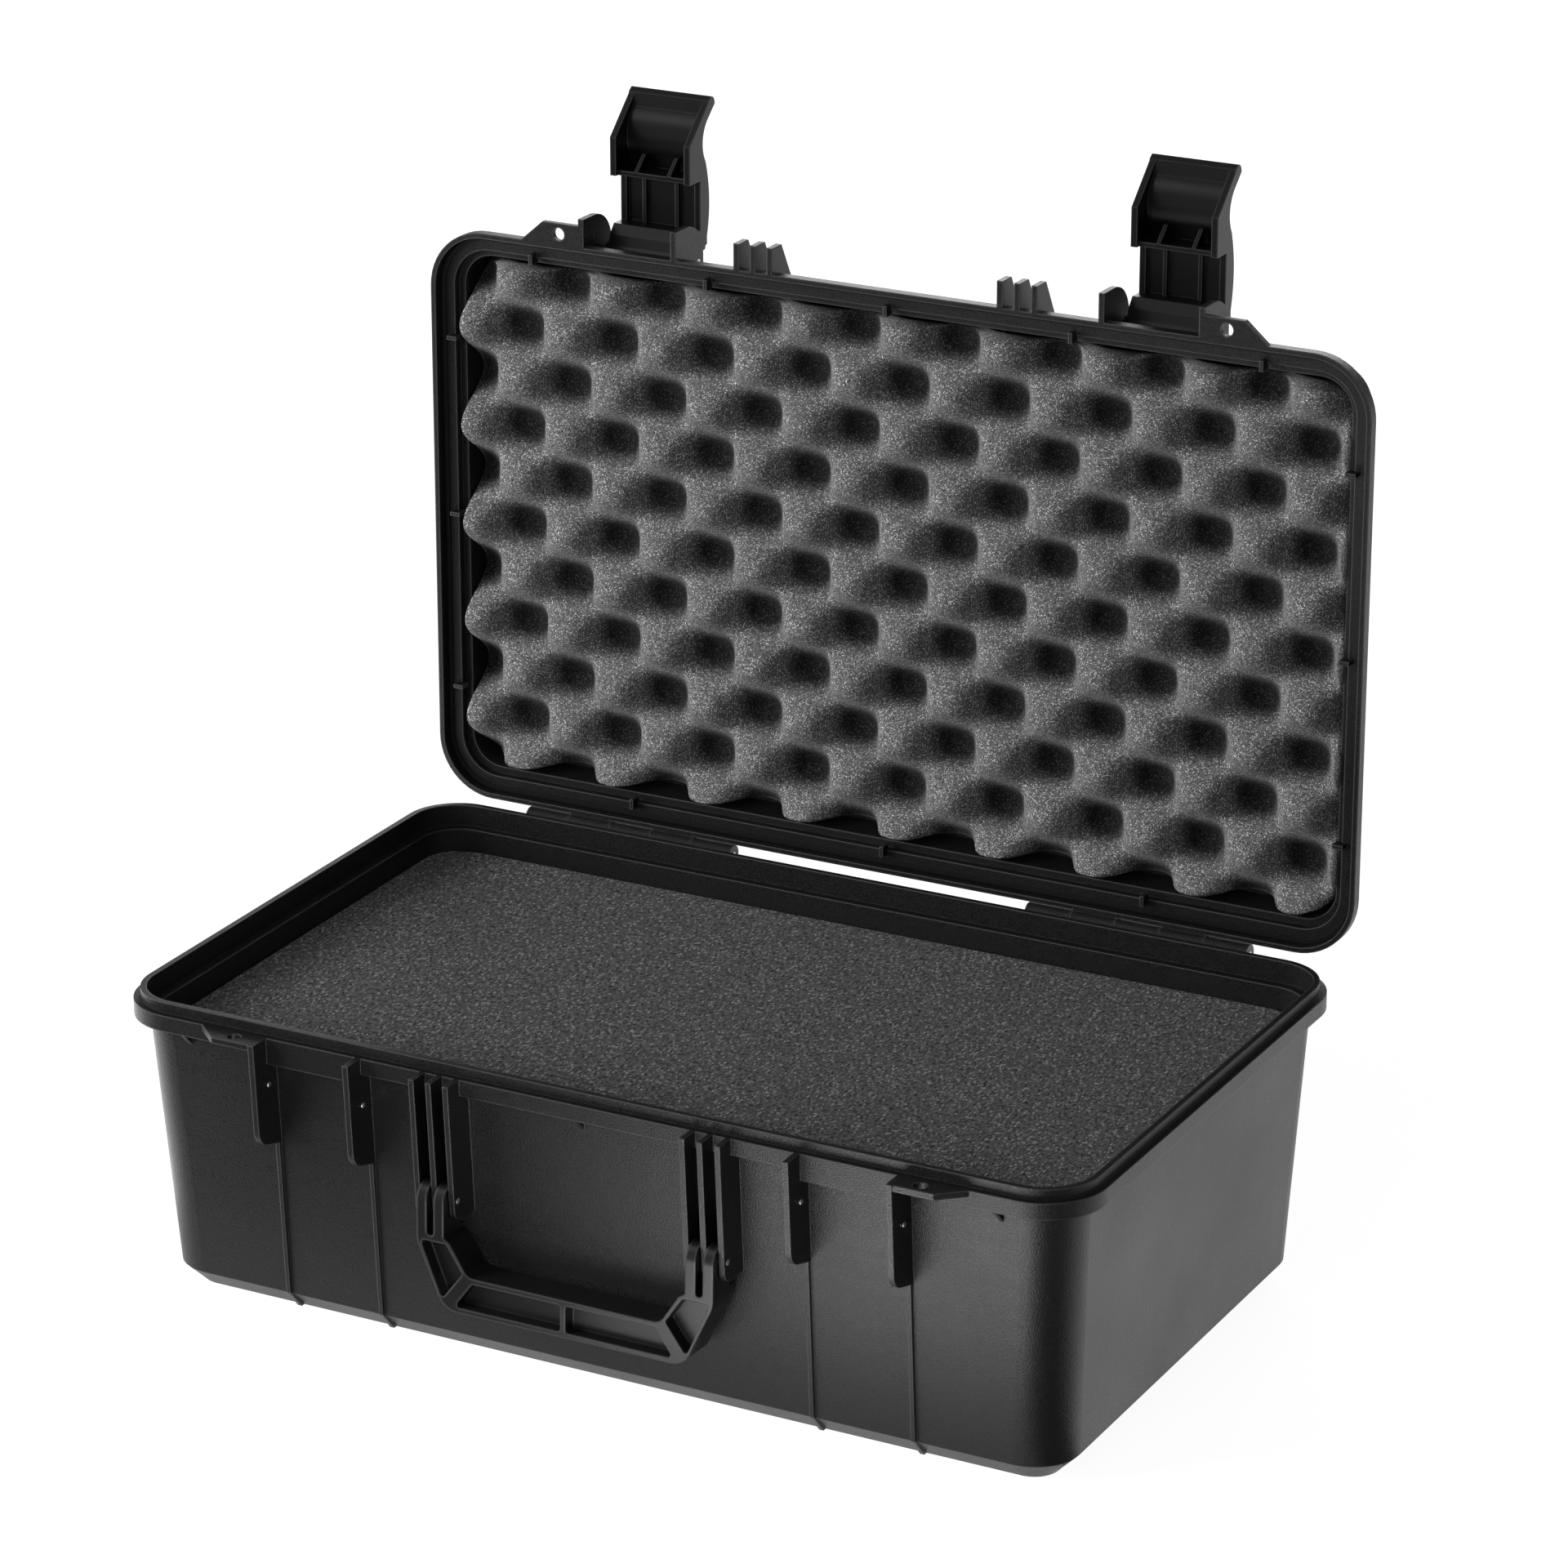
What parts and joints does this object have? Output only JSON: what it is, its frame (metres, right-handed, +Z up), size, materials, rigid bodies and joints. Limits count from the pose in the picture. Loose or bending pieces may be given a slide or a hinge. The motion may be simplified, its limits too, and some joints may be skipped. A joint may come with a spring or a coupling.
{
  "type": "hard protective case",
  "caption": "Open hard protective case with a hinged lid, egg-crate lid foam, foam-filled base, swinging latches, folding carry handle and padlock lugs.",
  "frame": {"origin": "middle of the underside of the base, on the ground plane", "axes": "+X across the width to the right, +Y from the latch side to the hinge side, +Z up"},
  "size_m": [0.5, 0.3658, 0.5158],
  "materials": {
    "shell_plastic": "pebble-grain matte",
    "latch_plastic": "satin",
    "handle_plastic": "satin",
    "seal_rubber": "matte",
    "lid_foam": "open-cell foam",
    "base_foam": "open-cell foam",
    "pin_steel": "satin"
  },
  "bodies": {
    "base": {"base_shell": "shell_plastic", "base_foam_upper": "base_foam", "base_foam_lower": "base_foam", "base_floor_pad": "base_foam", "hinge_pin_left": "pin_steel", "hinge_pin_right": "pin_steel", "handle_pin_left": "pin_steel", "handle_pin_right": "pin_steel", "ear_pin_left_outer": "pin_steel", "ear_pin_left_inner": "pin_steel", "ear_pin_right_inner": "pin_steel", "ear_pin_right_outer": "pin_steel"},
    "lid": {"lid_shell": "shell_plastic", "lid_seal": "seal_rubber", "lid_foam": "lid_foam", "latch_pin_left": "pin_steel", "latch_pin_right": "pin_steel"},
    "latch_left": {"latch_left": "latch_plastic"},
    "latch_right": {"latch_right": "latch_plastic"},
    "handle": {"handle": "handle_plastic"}
  },
  "joints": [
    {"name": "lid_hinge", "type": "hinge", "parent": "base", "child": "lid", "pos_m": [0, 0.15235, 0.1462], "axis": [1, 0, 0], "range_deg": [0, 90.7]},
    {"name": "latch_left_pivot", "type": "hinge", "parent": "lid", "child": "latch_left", "pos_m": [-0.139, 0.17893, 0.43945], "axis": [1, 0, 0], "range_deg": [0, 90]},
    {"name": "latch_right_pivot", "type": "hinge", "parent": "lid", "child": "latch_right", "pos_m": [0.139, 0.17893, 0.43945], "axis": [1, 0, 0], "range_deg": [0, 90]},
    {"name": "handle_swing", "type": "hinge", "parent": "base", "child": "handle", "pos_m": [0, -0.1503, 0.0872], "axis": [-1, 0, 0], "range_deg": [-4, 97]}
  ]
}
